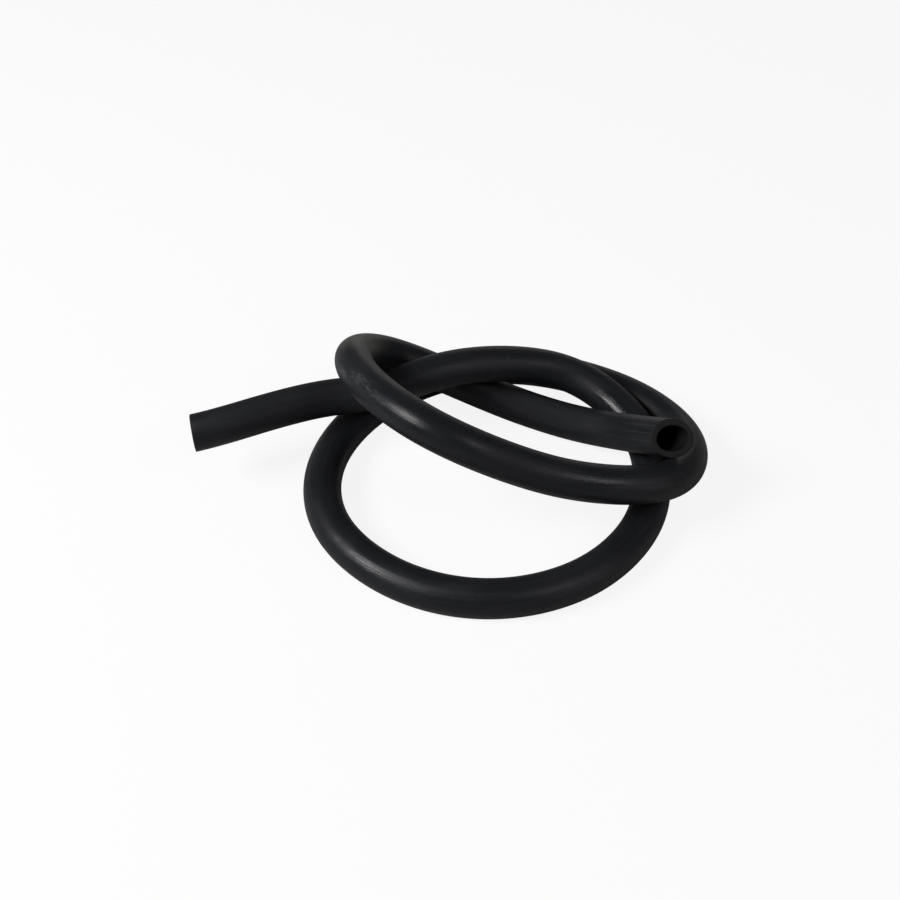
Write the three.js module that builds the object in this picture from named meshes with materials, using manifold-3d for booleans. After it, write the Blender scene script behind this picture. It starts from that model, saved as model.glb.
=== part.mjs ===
// A cut length of plain black soaker hose, left in a loose tangle on the floor.
// The hose is one extruded piece of rubber: a round wall round an open bore, with nothing fitted to it.
// Millimetres, +Z up. The floor is z = 0, and the middle of the tangle's footprint is x = y = 0.
import * as THREE from "three";
import { NURBSCurve } from "three/addons/curves/NURBSCurve.js";
import { mergeVertices } from "three/addons/utils/BufferGeometryUtils.js";
import Module from "manifold-3d";

// ---------------------------------------------------------------- driving sizes
const outsideDiameter = 16;
const wall = 2.5;
const strandClearance = 0.7; // air left where one strand lies on another
const floorFlat = outsideDiameter / 10; // how far the hose flattens where it lies on the floor

// How the two ends were cut. trim runs from the end of the route back to the middle of the cut,
// and facing is the way the cut face looks. The first end is nearly square, the second a long slant.
const firstCut = { trim: 3.6, facing: [-0.97, -0.21, -0.05] };
const lastCut = { trim: 5.7, facing: [0.06, -0.74, 0.62] };

// How finely the round forms are faceted.
const outsideSides = 18;
const boreSides = 12;
const steps = 130;

// ---------------------------------------------------------------- route
// The poles that the hose's centre line is drawn towards, from the first end to the last: x, y and
// the height in strands, where 0 lies on the floor and 1 lies on one strand that lies on the floor.
const route = [
  // the first end stands out a little above the floor, carried where the hose crosses the floor loop
  [-112, 1, 1.2],
  [-100, 4, 1.25],
  [-83, 12, 1.3],
  [-54, 29, 1.1],
  [-31, 30, 1.1],
  // over the last stretch, then down inside the back of the tangle to the floor
  [-2, 40, 1.65],
  [41, 57, 0.9],
  [65, 48, 0.55],
  [85, 24, 0.1],
  [86, -6, 0],
  // the floor loop, clockwise seen from above: right, front, left
  [79, -34, 0],
  [58, -60, 0],
  [29, -73, 0],
  [-1, -73, 0],
  [-29, -60, 0],
  [-51, -35, 0],
  [-57, -5, 0],
  // along the back on the floor, under both upper strands
  [-50, 23, 0],
  [-33, 48, 0],
  [-9, 66, 0],
  [18, 74, 0],
  [48, 71, 0],
  [83, 53, 0],
  [102, 28, 0],
  // the right-hand bend climbs over the floor loop and arches up in front, to the highest part
  [102, -2, 0.5],
  [88, -28, 1.05],
  [54, -33, 1.4],
  [28, -34, 1.95],
  [-8, -36, 3.2],
  // the left-hand bend goes over the first end's stretch
  [-35, -3, 2.95],
  [-46, 33, 2.4],
  [-30, 56, 1.35],
  // down under the first end's stretch to the floor, and up again over the right-hand strands
  [1, 52, 0.55],
  [26, 46, 0],
  [53, 32, 0],
  [71, 15, 0.6],
  [80, 0, 1.25],
  [92, -17, 2],
];

// ---------------------------------------------------------------- centre line
const radius = outsideDiameter / 2;
const boreRadius = radius - wall;
const layer = outsideDiameter + strandClearance;
const lyingHeight = radius - floorFlat;

// A smooth cubic curve that starts on the first pole and ends on the last.
function centreLine(poles) {
  const degree = 3;
  const spans = poles.length - degree;
  const knots = [];
  for (let i = 0; i < poles.length + degree + 1; i += 1) {
    knots.push(THREE.MathUtils.clamp(i - degree, 0, spans) / spans);
  }
  const points = poles.map(([x, y, strands]) => new THREE.Vector4(x, y, lyingHeight + strands * layer, 1));
  const curve = new NURBSCurve(degree, knots, points);
  curve.arcLengthDivisions = 20 * poles.length;
  return curve;
}

// ---------------------------------------------------------------- section
function circlePoints(circleRadius, sides) {
  return Array.from({ length: sides }, (_, i) => {
    const angle = (2 * Math.PI * i) / sides;
    return new THREE.Vector2(circleRadius * Math.cos(angle), circleRadius * Math.sin(angle));
  });
}

function hoseSection() {
  const section = new THREE.Shape(circlePoints(radius, outsideSides));
  section.holes.push(new THREE.Path(circlePoints(boreRadius, boreSides)));
  return section;
}

// ---------------------------------------------------------------- solids
const wasm = await Module();
wasm.setup();

function toSolid(geometry) {
  const bare = geometry.clone();
  bare.deleteAttribute("normal");
  bare.deleteAttribute("uv");
  const merged = mergeVertices(bare, 1e-4);
  return new wasm.Manifold(
    new wasm.Mesh({
      numProp: 3,
      vertProperties: new Float32Array(merged.attributes.position.array),
      triVerts: new Uint32Array(merged.index.array),
    }),
  );
}

function toGeometry(solid) {
  const mesh = solid.getMesh();
  const geometry = new THREE.BufferGeometry();
  geometry.setAttribute("position", new THREE.BufferAttribute(mesh.vertProperties, mesh.numProp));
  geometry.setIndex(new THREE.BufferAttribute(mesh.triVerts, 1));
  const faceted = geometry.toNonIndexed();
  faceted.computeVertexNormals();
  return faceted;
}

// What a cut takes away: whatever of the hose's end lies beyond a plane through a point, looking
// the way of facing. It reaches no further to the sides than half the strand clearance, so that it
// leaves the neighbouring strands whole.
function cutAway(point, along, facing) {
  const reach = 2 * outsideDiameter;
  const stub = new THREE.CylinderGeometry(radius + strandClearance / 2, radius + strandClearance / 2, reach, 48);
  stub.applyQuaternion(new THREE.Quaternion().setFromUnitVectors(new THREE.Vector3(0, 1, 0), along));
  stub.translate(point.x, point.y, point.z);
  return toSolid(stub).trimByPlane(facing.toArray(), facing.dot(point));
}

function endCut(line, share, outward, facing) {
  const along = line.getTangentAt(share).multiplyScalar(outward);
  return cutAway(line.getPointAt(share), along, new THREE.Vector3(...facing).normalize());
}

// Everything below the floor within reach of the hose.
function belowFloor(geometry) {
  geometry.computeBoundingBox();
  const reach = geometry.boundingBox.getSize(new THREE.Vector3());
  const middle = geometry.boundingBox.getCenter(new THREE.Vector3());
  const depth = outsideDiameter;
  const block = new THREE.BoxGeometry(reach.x + outsideDiameter, reach.y + outsideDiameter, depth);
  block.translate(middle.x, middle.y, -depth / 2);
  return toSolid(block);
}

// ---------------------------------------------------------------- hose
function buildHose() {
  const line = centreLine(route);
  const length = line.getLength();
  const tube = new THREE.ExtrudeGeometry(hoseSection(), { steps, extrudePath: line });
  const hose = toSolid(tube)
    .subtract(endCut(line, firstCut.trim / length, -1, firstCut.facing))
    .subtract(endCut(line, 1 - lastCut.trim / length, 1, lastCut.facing))
    .subtract(belowFloor(tube));
  return { geometry: toGeometry(hose), line, length };
}

// The least air between two stretches of the hose that aren't neighbours along it.
function leastGap(line, length) {
  const count = 900;
  const points = line.getSpacedPoints(count);
  const apart = Math.ceil((2.6 * outsideDiameter * count) / length);
  let least = Infinity;
  for (let i = 0; i <= count; i += 1) {
    for (let j = i + apart; j <= count; j += 1) {
      least = Math.min(least, points[i].distanceTo(points[j]));
    }
  }
  return least - outsideDiameter;
}

const rubber = new THREE.MeshStandardMaterial({ color: 0x1d1f22, roughness: 0.45, metalness: 0 });
const { geometry, line, length } = buildHose();
const hose = new THREE.Mesh(geometry, rubber);
hose.name = "soaker_hose";

const cutLength = length - firstCut.trim - lastCut.trim;
console.log(`hose length ${cutLength.toFixed(0)} mm, least gap to itself ${leastGap(line, length).toFixed(2)} mm`);

const soakerHose = new THREE.Group();
soakerHose.add(hose);

export default soakerHose;
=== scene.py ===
"""A cut length of plain black soaker hose, lying in a loose tangle on a pale floor.

The hose is first made straight, as a round wall whose two cut ends have softly rounded edges. It
is then laid along its route by Geometry Nodes. Everything is in metres, in the CAD model's frame.
"""
import math

import bpy
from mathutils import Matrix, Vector


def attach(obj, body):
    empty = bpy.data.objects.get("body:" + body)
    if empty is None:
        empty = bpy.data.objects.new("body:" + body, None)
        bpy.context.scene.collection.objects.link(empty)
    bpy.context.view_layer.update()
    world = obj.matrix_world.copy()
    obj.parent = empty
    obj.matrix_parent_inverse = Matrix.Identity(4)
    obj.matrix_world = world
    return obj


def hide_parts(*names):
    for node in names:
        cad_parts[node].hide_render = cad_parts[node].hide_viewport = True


MM = 0.001

# ---------------------------------------------------------------- sizes, in metres
OUTSIDE_DIAMETER = 16 * MM
WALL = 2.5 * MM
STRAND_CLEARANCE = 0.7 * MM  # air left where one strand lies on another
FLOOR_FLAT = OUTSIDE_DIAMETER / 10  # how far the hose flattens where it lies on the floor
LAYER = OUTSIDE_DIAMETER + STRAND_CLEARANCE
LYING_HEIGHT = OUTSIDE_DIAMETER / 2 - FLOOR_FLAT

# How the two ends were cut: the length trimmed off the route, and the way that the cut face looks.
FIRST_TRIM, FIRST_FACING = 3.6 * MM, (-0.97, -0.21, -0.05)
LAST_TRIM, LAST_FACING = 5.7 * MM, (0.06, -0.74, 0.62)

# The poles that the centre line is drawn towards, from the first end to the last: x and y in
# millimetres, and the height in strands, where 0 lies on the floor and 1 lies on one strand.
ROUTE = [
    # the first end stands out a little above the floor, carried by the floor loop that it crosses
    (-112, 1, 1.2),
    (-100, 4, 1.25),
    (-83, 12, 1.3),
    (-54, 29, 1.1),
    (-31, 30, 1.1),
    # over the last stretch, then down inside the back of the tangle to the floor
    (-2, 40, 1.65),
    (41, 57, 0.9),
    (65, 48, 0.55),
    (85, 24, 0.1),
    (86, -6, 0),
    # the floor loop, clockwise seen from above: right, front, left
    (79, -34, 0),
    (58, -60, 0),
    (29, -73, 0),
    (-1, -73, 0),
    (-29, -60, 0),
    (-51, -35, 0),
    (-57, -5, 0),
    # along the back on the floor, under both upper strands
    (-50, 23, 0),
    (-33, 48, 0),
    (-9, 66, 0),
    (18, 74, 0),
    (48, 71, 0),
    (83, 53, 0),
    (102, 28, 0),
    # the right-hand bend climbs over the floor loop and arches up in front, to the highest part
    (102, -2, 0.5),
    (88, -28, 1.05),
    (54, -33, 1.4),
    (28, -34, 1.95),
    (-8, -36, 3.2),
    # the left-hand bend goes over the first end's stretch
    (-35, -3, 2.95),
    (-46, 33, 2.4),
    (-30, 56, 1.35),
    # down under the first end's stretch to the floor, and up again over the right-hand strands
    (1, 52, 0.55),
    (26, 46, 0),
    (53, 32, 0),
    (71, 15, 0.6),
    (80, 0, 1.25),
    (92, -17, 2),
]
ROUTE_STEPS = 48  # points of the centre line between two poles

# ---------------------------------------------------------------- camera
CAMERA_ELEVATION = math.radians(41.64)
CAMERA_DISTANCE = 0.6019
CAMERA_TARGET = Vector((-0.94, 23.28, -1.71)) * MM
CAMERA_FOCAL_MM = 54.24
CAMERA_NEAR = 0.01
SENSOR_MM = 36

# ---------------------------------------------------------------- rubber
RUBBER_BLACK = (0.009, 0.0096, 0.0118)
BLOOM_GREY = (0.016, 0.0166, 0.019)
CUT_GREY = (0.008, 0.0083, 0.009)
# painted shade: the bore is the same rubber, painted near-black for the shade deep inside the hose
BORE_PAINTED_SHADE = (0.0005, 0.0005, 0.0006)
# the pale grey of the die's streaks, also the colour of a painted highlight near the last cut
STREAK_AND_SHEEN_GREY = (0.03, 0.032, 0.036)
# painted sheen: the paler grey put where light falls on top of the highest bend
PAINTED_SHEEN_GREY = (0.05, 0.051, 0.041)
SCUFF_GREY = (0.06, 0.062, 0.068)
RUBBER_IOR = 1.3
BLOOM_SHARE = 0.6
STREAK_SHARE = 0.1

# The skin's roughness, what the drawn lines and the bloom add to it, and the cuts' and bore's own.
SKIN_ROUGHNESS = 0.34
LINE_ROUGHNESS = 0.12
BLOOM_ROUGHNESS = 0.1
DULL_ROUGHNESS = 0.75

# How high the lines and the grain stand, and how deep the scuffs go.
LINE_HEIGHT = 0.14 * MM
GRAIN_HEIGHT = 0.09 * MM
SCUFF_HEIGHT = -0.02 * MM

# Noise patterns: bumps to the metre, along the hose and twice across it, then the noise's detail
# and roughness.
LINES = ((14, 700, 700), 3.0, 0.6)
STREAKS = ((22, 900, 900), 2.0, 0.5)
BLOOM = ((45, 150, 150), 4.0, 0.55)
GRAIN = ((1500, 1500, 1500), 3.0, 0.6)
SCRATCHES = ((350, 1300, 1300), 3.0, 0.7)

# From which value to which a noise turns into streaks, bloom or scratches.
STREAK_RANGE = (0.4, 0.7)
BLOOM_RANGE = (0.4, 0.75)
SCRATCH_RANGE = (0.35, 0.65)

# Patches fade out between these shares of their size. Scratches tear a scuff: where their noise is
# low the first value of the tear is added to the share, and where it is high the second.
PATCH_EDGE = (0.3, 1.0)
SCUFF_EDGE = (0.75, 1.25)
SCUFF_TEAR = (0.9, -0.1)

# How far from the bore's wall, and from a cut, their duller finish and the bore's painted shade
# give way to the skin's.
BORE_EDGE = (0.1 * MM, 0.3 * MM)
CUT_EDGE = (0.1 * MM, 0.4 * MM)

# Patches on the skin. Each has its middle in millimetres on the straight hose (along it from the
# route's start, and twice across its section), its half length and half width, and its strength.
SCUFFS = [
    ((885, -7.8, -1.6), 6 * MM, 1.8 * MM, 0.55),
    ((872, -6.4, -4.7), 8 * MM, 2.6 * MM, 0.5),
    ((858, -6.8, -4.2), 9 * MM, 1.8 * MM, 0.35),
    ((137.6, 8.0, -0.5), 2.2 * MM, 1.6 * MM, 0.2),
    ((143.7, 5.0, -6.2), 1.0 * MM, 0.8 * MM, 0.35),
    ((421, -0.9, -7.9), 2.2 * MM, 1.5 * MM, 0.45),
    ((405, -2.0, -7.7), 9 * MM, 1.8 * MM, 0.35),
]
# where the streaks that the extruder's die left show most; near the last cut they also make a paler
# patch, a painted highlight on the top of the end
STREAKED_AND_SHEEN = [
    ((1086, 7.5, -2.5), 22 * MM, 8 * MM, 0.55),
    ((1086, 3.0, 7.4), 22 * MM, 8 * MM, 0.3),
]
# painted sheen: a paler patch on top of the left-hand bend, the highest part of the tangle,
# standing in for the light that falls on it
PAINTED_SHEEN_PATCHES = [
    ((914, 1.5, -7.3), 24 * MM, 14 * MM, 1.0),
]
# how much less rough handling has left the skin, or how much more where the strength is below 0
POLISHED = [
    ((842, -6.8, -4.2), 44 * MM, 8 * MM, 0.13),
    ((204, 7.2, -3.6), 15 * MM, 6 * MM, 0.26),
    ((406, -1.2, -7.9), 16 * MM, 6 * MM, 0.08),
    ((768, -5.1, -6.2), 20 * MM, 6 * MM, 0.16),
    ((45, 4.0, -7.0), 60 * MM, 12 * MM, -0.3),
    ((806, -6.2, -5.2), 16 * MM, 8 * MM, -0.15),
    ((1022, 7.8, -1.0), 40 * MM, 11 * MM, -0.4),
]

# ---------------------------------------------------------------- floor and light
FLOOR_SIDE = 6.0
FLOOR_COLOUR = 0.9
FLOOR_BOUNCE = 0.45  # how pale the floor is to the light that it throws back at the hose
FLOOR_WHITENESS = 0.88  # how much of the floor's white the camera sees unlit and unshaded
FLOOR_ROUGHNESS = 0.9
FLOOR_SPECULAR = 0.1
WHITE = (1, 1, 1, 1)
WORLD_STRENGTH = 0.09
LAMP_TARGET = Vector((0, 0, 0.02))
# name, azimuth and elevation in degrees, distance, width and height in metres, watts
SOFTBOXES = [
    ("key_softbox", -109, 40, 1.2, 0.54, 0.38, 14),
    ("back_softbox", 10, 6, 1.3, 0.7, 0.2, 0.6),
    ("fill_softbox", 128, 44, 1.3, 0.4, 0.35, 2.6),
    ("side_softbox", 122, 12, 1.3, 0.8, 0.3, 1.3),
]


# ================================================================ node helpers
def feed(tree, socket, value):
    """Joins an input to another socket, or sets it to a plain value."""
    if isinstance(value, bpy.types.NodeSocket):
        tree.links.new(value, socket)
    else:
        socket.default_value = value


def find_input(node, key):
    if isinstance(key, int):
        return node.inputs[key]
    return next(s for s in node.inputs if s.name == key and s.enabled)


def add_node(tree, kind, values=None, **settings):
    """A node with its settings, and its inputs fed with values, by name or by number."""
    node = tree.nodes.new(kind)
    for name, value in settings.items():
        setattr(node, name, value)
    for key, value in (values or {}).items():
        feed(tree, find_input(node, key), value)
    return node


def output(node, name=None):
    return next(s for s in node.outputs if s.enabled and name in (None, s.name))


def calculate(tree, operation, *values):
    """The result of a calculation with numbers."""
    return add_node(tree, "ShaderNodeMath", dict(enumerate(values)), operation=operation).outputs[0]


def combine(tree, operation, *values):
    """The result of a calculation with vectors."""
    node = add_node(tree, "ShaderNodeVectorMath", operation=operation)
    for socket, value in zip([s for s in node.inputs if s.enabled], values):
        feed(tree, socket, value)
    return output(node)


def split_vector(tree, vector):
    return add_node(tree, "ShaderNodeSeparateXYZ", {0: vector}).outputs


def make_vector(tree, x, y, z):
    return add_node(tree, "ShaderNodeCombineXYZ", {0: x, 1: y, 2: z}).outputs[0]


def vector_length(tree, vector):
    return output(add_node(tree, "ShaderNodeVectorMath", {0: vector}, operation="LENGTH"), "Value")


def ramp(tree, value, start, end, low=0.0, high=1.0):
    """The value's way from start to end, smoothed and taken from low to high."""
    node = add_node(
        tree,
        "ShaderNodeMapRange",
        {"Value": value, "From Min": start, "From Max": end, "To Min": low, "To Max": high},
        interpolation_type="SMOOTHSTEP",
    )
    return output(node)


def fade(tree, value, start, end):
    """1 up to the start, falling smoothly to 0 at the end."""
    return ramp(tree, value, start, end, 1.0, 0.0)


def new_group(name, kind, inputs, outputs):
    """A node group with named inputs and outputs, given as (name, socket kind, default)."""
    tree = bpy.data.node_groups.new(name, kind)
    for socket_name, socket_kind, default in inputs:
        socket = tree.interface.new_socket(socket_name, in_out="INPUT", socket_type=socket_kind)
        if default is not None:
            socket.default_value = default
    for socket_name, socket_kind in outputs:
        tree.interface.new_socket(socket_name, in_out="OUTPUT", socket_type=socket_kind)
    return tree, tree.nodes.new("NodeGroupInput"), tree.nodes.new("NodeGroupOutput")


def set_inputs(modifier, values):
    """Sets a Geometry Nodes modifier's inputs by their names."""
    for item in modifier.node_group.interface.items_tree:
        if item.item_type == "SOCKET" and item.in_out == "INPUT" and item.name in values:
            modifier[item.identifier] = values[item.name]


# ================================================================ centre line
def route_curve():
    """The centre line: a smooth cubic curve that starts on the first pole and ends on the last."""
    curve = bpy.data.curves.new("hose_route", "CURVE")
    curve.dimensions = "3D"
    curve.resolution_u = ROUTE_STEPS
    spline = curve.splines.new("NURBS")
    spline.points.add(len(ROUTE) - 1)
    for point, (x, y, strands) in zip(spline.points, ROUTE):
        point.co = (x * MM, y * MM, LYING_HEIGHT + strands * LAYER, 1)
    spline.order_u = 4
    spline.use_endpoint_u = True
    spline.resolution_u = ROUTE_STEPS
    route = bpy.data.objects.new("hose_route", curve)
    bpy.context.scene.collection.objects.link(route)
    return route


def line_between_cuts(route):
    """The centre line's points between the two cuts, close together, and its length there."""
    shown = route.evaluated_get(bpy.context.evaluated_depsgraph_get())
    mesh = shown.to_mesh()
    points = [v.co.copy() for v in mesh.vertices]
    shown.to_mesh_clear()

    runs = [0.0]
    for here, there in zip(points, points[1:]):
        runs.append(runs[-1] + (there - here).length)
    total = runs[-1]
    kept = [p for p, run in zip(points, runs) if FIRST_TRIM < run < total - LAST_TRIM]
    return kept, total - FIRST_TRIM - LAST_TRIM


# ================================================================ hose
def store(tree, geometry, name, value, data_type="FLOAT"):
    node = add_node(
        tree,
        "GeometryNodeStoreNamedAttribute",
        {"Geometry": geometry, "Name": name, "Value": value},
        data_type=data_type,
        domain="POINT",
    )
    return output(node)


def stored(tree, name):
    node = add_node(tree, "GeometryNodeInputNamedAttribute", {"Name": name}, data_type="FLOAT")
    return output(node)


def subdivisions(tree, sizes):
    """How often each side of the wall's outline is cut: a ring every spacing along the hose, and a
    few close rings on the cut faces."""
    place = tree.nodes.new("GeometryNodeInputPosition").outputs[0]
    index = tree.nodes.new("GeometryNodeInputIndex").outputs[0]
    after = add_node(tree, "GeometryNodeOffsetPointInCurve", {"Point Index": index, "Offset": 1})
    following, valid = output(after, "Point Index"), output(after, "Is Valid Offset")
    next_place = add_node(
        tree,
        "GeometryNodeFieldAtIndex",
        {"Value": place, "Index": calculate(tree, "MULTIPLY", following, valid)},
        data_type="FLOAT_VECTOR",
    )
    side = combine(tree, "ABSOLUTE", combine(tree, "SUBTRACT", output(next_place), place))
    along, across, _ = split_vector(tree, side)
    along_cuts = calculate(tree, "DIVIDE", along, sizes["Ring Spacing"])
    face_cuts = calculate(tree, "DIVIDE", across, sizes["Face Spacing"])
    return calculate(tree, "FLOOR", calculate(tree, "ADD", along_cuts, face_cuts))


def straight_hose(tree, sizes, length):
    """The straight hose: a wall with softly rounded cut edges, turned about its axis. Each point
    keeps where it is along the hose, how far it is from the axis and its angle round it."""
    wall = sizes["Wall"]
    outline = add_node(
        tree,
        "GeometryNodeCurvePrimitiveQuadrilateral",
        {"Width": length, "Height": wall},
        mode="RECTANGLE",
    )
    rounded = add_node(
        tree,
        "GeometryNodeFilletCurve",
        {"Curve": output(outline), "Count": sizes["Edge Steps"], "Radius": sizes["Edge Rounding"]},
        mode="POLY",
    )
    cuts = subdivisions(tree, sizes)
    divided = add_node(tree, "GeometryNodeSubdivideCurve", {"Curve": output(rounded), "Cuts": cuts})

    x, y, _ = split_vector(tree, tree.nodes.new("GeometryNodeInputPosition").outputs[0])
    halfway = calculate(tree, "MULTIPLY_ADD", length, 0.5, sizes["First Trim"])
    along = calculate(tree, "ADD", x, halfway)
    outside_radius = calculate(tree, "MULTIPLY", sizes["Outside Diameter"], 0.5)
    middle = calculate(tree, "SUBTRACT", outside_radius, calculate(tree, "MULTIPLY", wall, 0.5))
    reach = calculate(tree, "ADD", y, middle)
    profile = store(tree, store(tree, output(divided), "along", along), "reach", reach)

    circle = add_node(
        tree,
        "GeometryNodeCurvePrimitiveCircle",
        {"Resolution": sizes["Sides"], "Radius": middle},
        mode="RADIUS",
    )
    index = tree.nodes.new("GeometryNodeInputIndex").outputs[0]
    share = calculate(tree, "DIVIDE", index, sizes["Sides"])
    turned = store(tree, output(circle), "turn", calculate(tree, "MULTIPLY", share, 2 * math.pi))
    swept = {"Curve": turned, "Profile Curve": profile}
    return output(add_node(tree, "GeometryNodeCurveToMesh", swept))


def sample_line(tree, line, length):
    """The centre line's place, its direction and its two cross directions at a length along it."""
    node = add_node(
        tree, "GeometryNodeSampleCurve", {"Curves": line, "Length": length}, mode="LENGTH"
    )
    place, tangent, normal = (output(node, name) for name in ("Position", "Tangent", "Normal"))
    return place, tangent, normal, combine(tree, "CROSS_PRODUCT", tangent, normal)


def radial(tree, line, length, turn, reach):
    """How far a point of the hose's section lies from the centre line, as a vector."""
    _, _, normal, side = sample_line(tree, line, length)
    outward = combine(
        tree,
        "ADD",
        combine(tree, "MULTIPLY", normal, calculate(tree, "COSINE", turn)),
        combine(tree, "MULTIPLY", side, calculate(tree, "SINE", turn)),
    )
    return combine(tree, "MULTIPLY", outward, reach)


def slant(tree, line, end, distance, offset, facing, sizes):
    """How far a point near an end moves along the hose, so that the cut looks the way of facing."""
    _, tangent, _, _ = sample_line(tree, line, end)
    rise = combine(tree, "DOT_PRODUCT", offset, facing)
    shift = calculate(tree, "DIVIDE", rise, combine(tree, "DOT_PRODUCT", tangent, facing))
    return calculate(tree, "MULTIPLY", shift, fade(tree, distance, 0.0, sizes["Slant Reach"]))


def squashed(tree, offset, tangent, reach, from_last, sizes):
    """The section's offset, where the bore near the last cut is a little wider and less tall."""
    outside_radius = calculate(tree, "MULTIPLY", sizes["Outside Diameter"], 0.5)
    depth = calculate(tree, "SUBTRACT", outside_radius, reach)
    inward = calculate(tree, "DIVIDE", depth, sizes["Wall"])
    share = calculate(tree, "MULTIPLY", inward, fade(tree, from_last, 0.0, sizes["Squash Reach"]))
    level = combine(tree, "NORMALIZE", combine(tree, "CROSS_PRODUCT", tangent, (0, 0, 1)))
    upright = combine(tree, "CROSS_PRODUCT", level, tangent)
    for direction, amount, operation in (
        (level, sizes["Bore Widening"], "ADD"),
        (upright, sizes["Bore Lowering"], "SUBTRACT"),
    ):
        part = combine(tree, "DOT_PRODUCT", offset, direction)
        moved = calculate(tree, "MULTIPLY", part, calculate(tree, "MULTIPLY", share, amount))
        offset = combine(tree, operation, offset, combine(tree, "MULTIPLY", direction, moved))
    return offset


def hose_tree():
    """Geometry Nodes: makes the straight hose and lays it along the route."""
    inputs = [
        ("Route", "NodeSocketGeometry", None),
        ("Outside Diameter", "NodeSocketFloat", OUTSIDE_DIAMETER),
        ("Wall", "NodeSocketFloat", WALL),
        ("Sides", "NodeSocketInt", 48),
        ("Ring Spacing", "NodeSocketFloat", 2.5 * MM),
        ("Face Spacing", "NodeSocketFloat", 0.4 * MM),
        ("Edge Rounding", "NodeSocketFloat", 0.35 * MM),
        ("Edge Steps", "NodeSocketInt", 4),
        ("First Trim", "NodeSocketFloat", FIRST_TRIM),
        ("First Facing", "NodeSocketVector", FIRST_FACING),
        ("Last Trim", "NodeSocketFloat", LAST_TRIM),
        ("Last Facing", "NodeSocketVector", LAST_FACING),
        ("Slant Reach", "NodeSocketFloat", 28 * MM),
        ("Bore Widening", "NodeSocketFloat", 0.08),
        ("Bore Lowering", "NodeSocketFloat", 0.06),
        ("Squash Reach", "NodeSocketFloat", 30 * MM),
        ("Floor Softness", "NodeSocketFloat", 1 * MM),
        ("Material", "NodeSocketMaterial", None),
    ]
    tree, given, result = new_group(
        "lay_hose_along_route", "GeometryNodeTree", inputs, [("Hose", "NodeSocketGeometry")]
    )
    sizes = {socket.name: socket for socket in given.outputs}
    line = sizes["Route"]
    whole = output(add_node(tree, "GeometryNodeCurveLength", {"Curve": line}))
    last_end = calculate(tree, "SUBTRACT", whole, sizes["Last Trim"])
    length = calculate(tree, "SUBTRACT", last_end, sizes["First Trim"])
    straight = straight_hose(tree, sizes, length)

    # Each ring slides along the route where a slanted cut asks for it, and takes its place there.
    along, turn, reach = stored(tree, "along"), stored(tree, "turn"), stored(tree, "reach")
    offset = radial(tree, line, along, turn, reach)
    from_first = calculate(tree, "SUBTRACT", along, sizes["First Trim"])
    from_last = calculate(tree, "SUBTRACT", last_end, along)
    first_slant = slant(
        tree, line, sizes["First Trim"], from_first, offset, sizes["First Facing"], sizes
    )
    last_slant = slant(tree, line, last_end, from_last, offset, sizes["Last Facing"], sizes)
    slid = calculate(tree, "SUBTRACT", calculate(tree, "SUBTRACT", along, first_slant), last_slant)
    place, tangent, _, _ = sample_line(tree, line, slid)
    round_section = radial(tree, line, slid, turn, reach)
    section = squashed(tree, round_section, tangent, reach, from_last, sizes)
    x, y, z = split_vector(tree, combine(tree, "ADD", place, section))

    # Where the hose lies on the floor, its underside is pressed flat.
    pressed = calculate(tree, "SMOOTH_MAX", z, 0.0, sizes["Floor Softness"])
    laid = make_vector(tree, x, y, pressed)
    moved = add_node(tree, "GeometryNodeSetPosition", {"Geometry": straight, "Position": laid})

    # The straight hose's own coordinates, which the rubber's pattern follows.
    lay = make_vector(
        tree,
        along,
        calculate(tree, "MULTIPLY", reach, calculate(tree, "COSINE", turn)),
        calculate(tree, "MULTIPLY", reach, calculate(tree, "SINE", turn)),
    )
    marked = store(tree, output(moved), "lay", lay, "FLOAT_VECTOR")
    ended = store(tree, marked, "from_end", calculate(tree, "MINIMUM", from_first, from_last))
    smooth = add_node(tree, "GeometryNodeSetShadeSmooth", {"Geometry": ended, "Shade Smooth": True})
    real = add_node(tree, "GeometryNodeRealizeInstances", {"Geometry": output(smooth)})
    dressed = add_node(
        tree, "GeometryNodeSetMaterial", {"Geometry": output(real), "Material": sizes["Material"]}
    )
    tree.links.new(output(dressed), result.inputs[0])
    return tree


def make_hose(route, material):
    modifier = route.modifiers.new("lay", "NODES")
    modifier.node_group = hose_tree()
    set_inputs(modifier, {"Material": material})
    shown = route.evaluated_get(bpy.context.evaluated_depsgraph_get())
    mesh = bpy.data.meshes.new_from_object(shown, preserve_all_data_layers=True)
    route.modifiers.remove(modifier)
    mesh.name = "soaker_hose"
    mesh.materials.clear()
    mesh.materials.append(material)
    hose = bpy.data.objects.new("hose", mesh)
    bpy.context.scene.collection.objects.link(hose)
    return hose


# ================================================================ finish
def attribute(tree, name, kind="Fac"):
    return add_node(tree, "ShaderNodeAttribute", attribute_name=name).outputs[kind]


def noise(tree, place, stretch, detail, roughness):
    """Noise with so many bumps to the metre along the hose and across it."""
    scaled = combine(tree, "MULTIPLY", place, stretch)
    node = add_node(
        tree,
        "ShaderNodeTexNoise",
        {"Vector": scaled, "Scale": 1.0, "Detail": detail, "Roughness": roughness},
    )
    return output(node, "Fac")


def blend(tree, share, low, high):
    """From the low colour to the high one. A colour is a socket or three plain numbers."""
    node = add_node(tree, "ShaderNodeMix", {"Factor": share}, data_type="RGBA")
    for name, colour in (("A", low), ("B", high)):
        feed(tree, find_input(node, name), (*colour, 1) if isinstance(colour, tuple) else colour)
    return output(node, "Result")


def share_of_size(tree, place, centre, half_sizes):
    """How far out in an oval patch a place lies: 0 in the middle and 1 on its edge."""
    away = combine(tree, "SUBTRACT", place, centre)
    return vector_length(tree, combine(tree, "DIVIDE", away, half_sizes))


def add_patches(tree, place, patches, value):
    """The value, with each patch's strength added where the patch is, softly."""
    for centre, length, width, strength in patches:
        share = share_of_size(tree, place, Vector(centre) * MM, (length, width, width))
        value = calculate(tree, "MULTIPLY_ADD", fade(tree, share, *PATCH_EDGE), strength, value)
    return value


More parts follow.
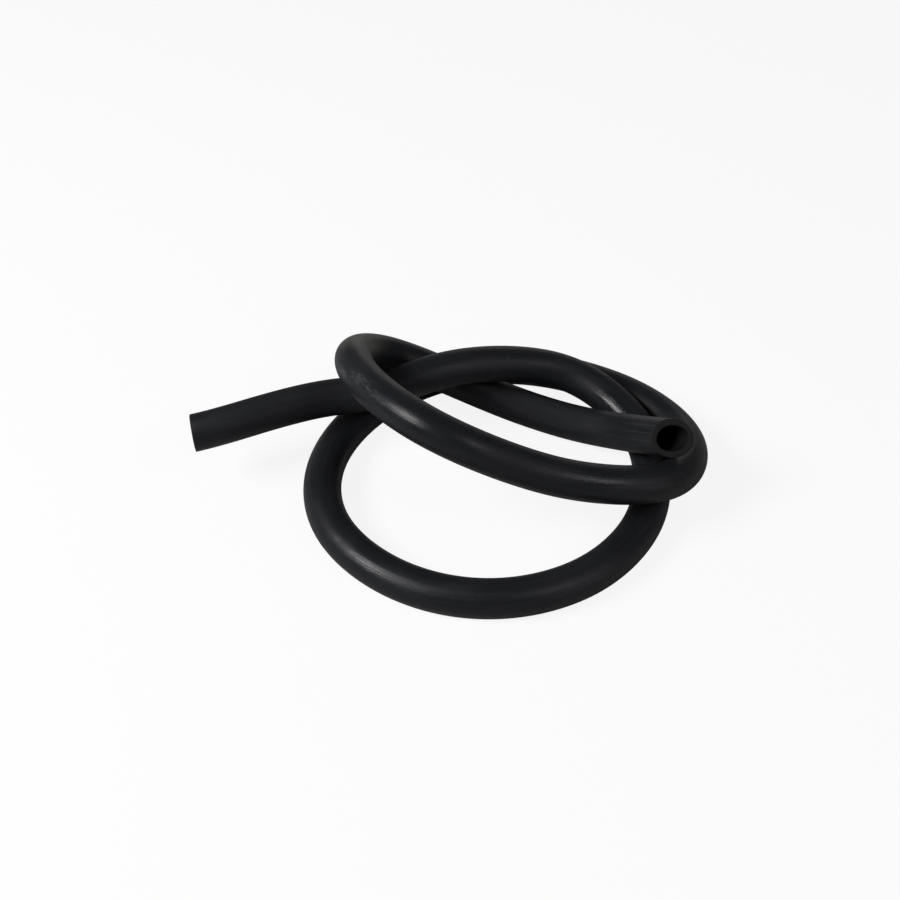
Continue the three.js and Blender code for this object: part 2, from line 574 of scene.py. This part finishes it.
def scuff_group():
    """A soft patch of fine scratches that run along the hose."""
    tree, given, result = new_group(
        "scuff_patch",
        "ShaderNodeTree",
        [
            ("Place", "NodeSocketVector", None),
            ("Centre", "NodeSocketVector", None),
            ("Length", "NodeSocketFloat", 5 * MM),
            ("Width", "NodeSocketFloat", 2 * MM),
        ],
        [("Mask", "NodeSocketFloat")],
    )
    place, centre, length, width = given.outputs[:4]
    share = share_of_size(tree, place, centre, make_vector(tree, length, width, width))
    scratches = noise(tree, place, *SCRATCHES)
    torn = calculate(tree, "ADD", share, ramp(tree, scratches, *SCRATCH_RANGE, *SCUFF_TEAR))
    tree.links.new(fade(tree, torn, *SCUFF_EDGE), result.inputs[0])
    return tree


def add_scuffs(tree, place):
    """How scuffed the skin is, from 0 to 1."""
    scuffs = 0.0
    group = scuff_group()
    for centre, length, width, strength in SCUFFS:
        patch = add_node(
            tree,
            "ShaderNodeGroup",
            {"Place": place, "Centre": Vector(centre) * MM, "Length": length, "Width": width},
            node_tree=group,
        )
        scuffs = calculate(tree, "MULTIPLY_ADD", patch.outputs[0], strength, scuffs)
    return scuffs


def rubber_skin_group():
    """What an extruded rubber skin has all over: drawn lines, hazy bloom and a fine grain."""
    tree, given, result = new_group(
        "rubber_skin",
        "ShaderNodeTree",
        [("Place", "NodeSocketVector", None)],
        [
            ("Lines", "NodeSocketFloat"),
            ("Streaks", "NodeSocketFloat"),
            ("Bloom", "NodeSocketFloat"),
            ("Grain", "NodeSocketFloat"),
        ],
    )
    place = given.outputs[0]
    lines = noise(tree, place, *LINES)
    streaks = ramp(tree, noise(tree, place, *STREAKS), *STREAK_RANGE)
    bloom = ramp(tree, noise(tree, place, *BLOOM), *BLOOM_RANGE)
    grain = noise(tree, place, *GRAIN)
    for socket, value in zip(result.inputs, (lines, streaks, bloom, grain)):
        tree.links.new(value, socket)
    return tree


def rubber_material():
    """Satin black rubber. The bore and the cut faces are duller than the drawn outside, and the
    bore is painted near-black as painted shade.
    """
    material = bpy.data.materials.new("black_hose_rubber")
    material.use_nodes = True
    tree = material.node_tree
    shader = tree.nodes["Principled BSDF"]
    place = attribute(tree, "lay", "Vector")
    skin = add_node(tree, "ShaderNodeGroup", {"Place": place}, node_tree=rubber_skin_group())
    lines, streaks, bloom, grain = skin.outputs

    # Which surface this is, by its distance from the axis and from the nearest cut.
    axis_distance = vector_length(tree, combine(tree, "MULTIPLY", place, (0, 1, 1)))
    bore_edge = [OUTSIDE_DIAMETER / 2 - WALL + depth for depth in BORE_EDGE]
    bore = fade(tree, axis_distance, *bore_edge)
    cut = fade(tree, attribute(tree, "from_end"), *CUT_EDGE)

    scuffs = add_scuffs(tree, place)
    polish = add_patches(tree, place, POLISHED, 0.0)
    # where the painted sheen lies on top of the highest bend
    painted_sheen = add_patches(tree, place, PAINTED_SHEEN_PATCHES, 0.0)
    # the die's streaks, strengthened near the last cut into a painted highlight
    drawn = calculate(tree, "MULTIPLY", streaks, add_patches(tree, place, STREAKED_AND_SHEEN, STREAK_SHARE))

    hazed = blend(tree, calculate(tree, "MULTIPLY", bloom, BLOOM_SHARE), RUBBER_BLACK, BLOOM_GREY)
    with_streaks_and_sheen = blend(tree, drawn, hazed, STREAK_AND_SHEEN_GREY)
    # the painted sheen: paler grey where light falls on the highest bend
    with_painted_sheen = blend(tree, painted_sheen, with_streaks_and_sheen, PAINTED_SHEEN_GREY)
    scuffed = blend(tree, scuffs, with_painted_sheen, SCUFF_GREY)
    faced = blend(tree, cut, scuffed, CUT_GREY)
    # painted shade: inside the bore the colour turns near-black
    tree.links.new(blend(tree, bore, faced, BORE_PAINTED_SHADE), shader.inputs["Base Color"])

    hazy = calculate(tree, "MULTIPLY_ADD", bloom, BLOOM_ROUGHNESS, SKIN_ROUGHNESS)
    lined = calculate(tree, "MULTIPLY_ADD", lines, LINE_ROUGHNESS, hazy)
    handled = calculate(tree, "SUBTRACT", lined, polish)
    dull = calculate(tree, "MAXIMUM", bore, cut)
    skin_part = calculate(tree, "MULTIPLY", handled, calculate(tree, "SUBTRACT", 1.0, dull))
    dull_part = calculate(tree, "MULTIPLY", dull, DULL_ROUGHNESS)
    tree.links.new(calculate(tree, "ADD", skin_part, dull_part), shader.inputs["Roughness"])
    shader.inputs["IOR"].default_value = RUBBER_IOR

    grained = calculate(tree, "MULTIPLY", grain, GRAIN_HEIGHT)
    scratched = calculate(tree, "MULTIPLY_ADD", scuffs, SCUFF_HEIGHT, grained)
    height = calculate(tree, "MULTIPLY_ADD", lines, LINE_HEIGHT, scratched)
    bump = add_node(tree, "ShaderNodeBump", {"Strength": 1.0, "Distance": 1.0, "Height": height})
    tree.links.new(output(bump), shader.inputs["Normal"])
    return material


# ================================================================ stage
def make_camera():
    camera = bpy.data.cameras.new("camera")
    camera.sensor_width = SENSOR_MM
    camera.sensor_fit = "HORIZONTAL"
    camera.lens = CAMERA_FOCAL_MM
    camera.clip_start = CAMERA_NEAR
    holder = bpy.data.objects.new("camera", camera)
    away = Vector((0, -math.cos(CAMERA_ELEVATION), math.sin(CAMERA_ELEVATION)))
    holder.location = CAMERA_TARGET + CAMERA_DISTANCE * away
    holder.rotation_euler = (math.pi / 2 - CAMERA_ELEVATION, 0, 0)
    bpy.context.scene.collection.objects.link(holder)
    bpy.context.scene.camera = holder


def make_floor():
    """A pale floor that the camera sees as white, with the hose's soft shadow on it."""
    mesh = bpy.data.meshes.new("floor")
    half = FLOOR_SIDE / 2
    corners = [(-half, -half, 0), (half, -half, 0), (half, half, 0), (-half, half, 0)]
    mesh.from_pydata(corners, [], [(0, 1, 2, 3)])
    floor = bpy.data.objects.new("floor", mesh)
    material = bpy.data.materials.new("pale_floor")
    material.use_nodes = True
    tree = material.node_tree
    shader = tree.nodes["Principled BSDF"]
    seen = add_node(tree, "ShaderNodeLightPath").outputs["Is Camera Ray"]
    paleness = calculate(tree, "MULTIPLY_ADD", seen, FLOOR_COLOUR - FLOOR_BOUNCE, FLOOR_BOUNCE)
    tree.links.new(paleness, shader.inputs["Base Color"])
    shader.inputs["Roughness"].default_value = FLOOR_ROUGHNESS
    shader.inputs["Specular IOR Level"].default_value = FLOOR_SPECULAR
    white = add_node(tree, "ShaderNodeEmission", {"Color": WHITE, "Strength": 1.0})
    share = calculate(tree, "MULTIPLY", seen, FLOOR_WHITENESS)
    mix = add_node(
        tree, "ShaderNodeMixShader", {0: share, 1: shader.outputs[0], 2: white.outputs[0]}
    )
    tree.links.new(mix.outputs[0], tree.nodes["Material Output"].inputs["Surface"])
    mesh.materials.append(material)
    bpy.context.scene.collection.objects.link(floor)


def make_world():
    """Dim, even studio light all round, and white where the camera sees past the floor."""
    world = bpy.data.worlds.new("studio")
    bpy.context.scene.world = world
    world.use_nodes = True
    tree = world.node_tree
    dim = tree.nodes["Background"]
    dim.inputs["Color"].default_value = WHITE
    dim.inputs["Strength"].default_value = WORLD_STRENGTH
    white = add_node(tree, "ShaderNodeBackground", {"Color": WHITE, "Strength": 1.0})
    seen = add_node(tree, "ShaderNodeLightPath").outputs["Is Camera Ray"]
    mix = add_node(tree, "ShaderNodeMixShader", {0: seen, 1: dim.outputs[0], 2: white.outputs[0]})
    tree.links.new(mix.outputs[0], tree.nodes["World Output"].inputs["Surface"])


def make_softbox(name, azimuth, elevation, distance, width, height, watts):
    """A soft lamp that looks at the hose. Azimuth 0 is behind the hose and -90 is on its left."""
    light = bpy.data.lights.new(name, "AREA")
    light.shape = "RECTANGLE"
    light.size, light.size_y, light.energy = width, height, watts
    lamp = bpy.data.objects.new(name, light)
    turn, rise = math.radians(azimuth), math.radians(elevation)
    level = math.cos(rise)
    away = Vector((math.sin(turn) * level, math.cos(turn) * level, math.sin(rise)))
    lamp.location = LAMP_TARGET + distance * away
    lamp.rotation_euler = away.to_track_quat("Z", "Y").to_euler()
    bpy.context.scene.collection.objects.link(lamp)


# ================================================================ scene
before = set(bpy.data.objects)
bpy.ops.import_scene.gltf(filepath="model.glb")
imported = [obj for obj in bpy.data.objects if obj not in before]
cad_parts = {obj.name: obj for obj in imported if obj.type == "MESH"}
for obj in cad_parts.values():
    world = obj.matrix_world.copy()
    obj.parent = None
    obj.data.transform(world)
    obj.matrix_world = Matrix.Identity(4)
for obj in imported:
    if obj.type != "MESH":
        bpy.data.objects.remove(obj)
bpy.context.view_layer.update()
bpy.context.scene.view_settings.view_transform = "Standard"

make_camera()
make_floor()
make_world()
for softbox in SOFTBOXES:
    make_softbox(*softbox)

route = route_curve()
hose_line, hose_length = line_between_cuts(route)
hose = make_hose(route, rubber_material())
bpy.data.objects.remove(route)

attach(hose, "root")
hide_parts("soaker_hose")
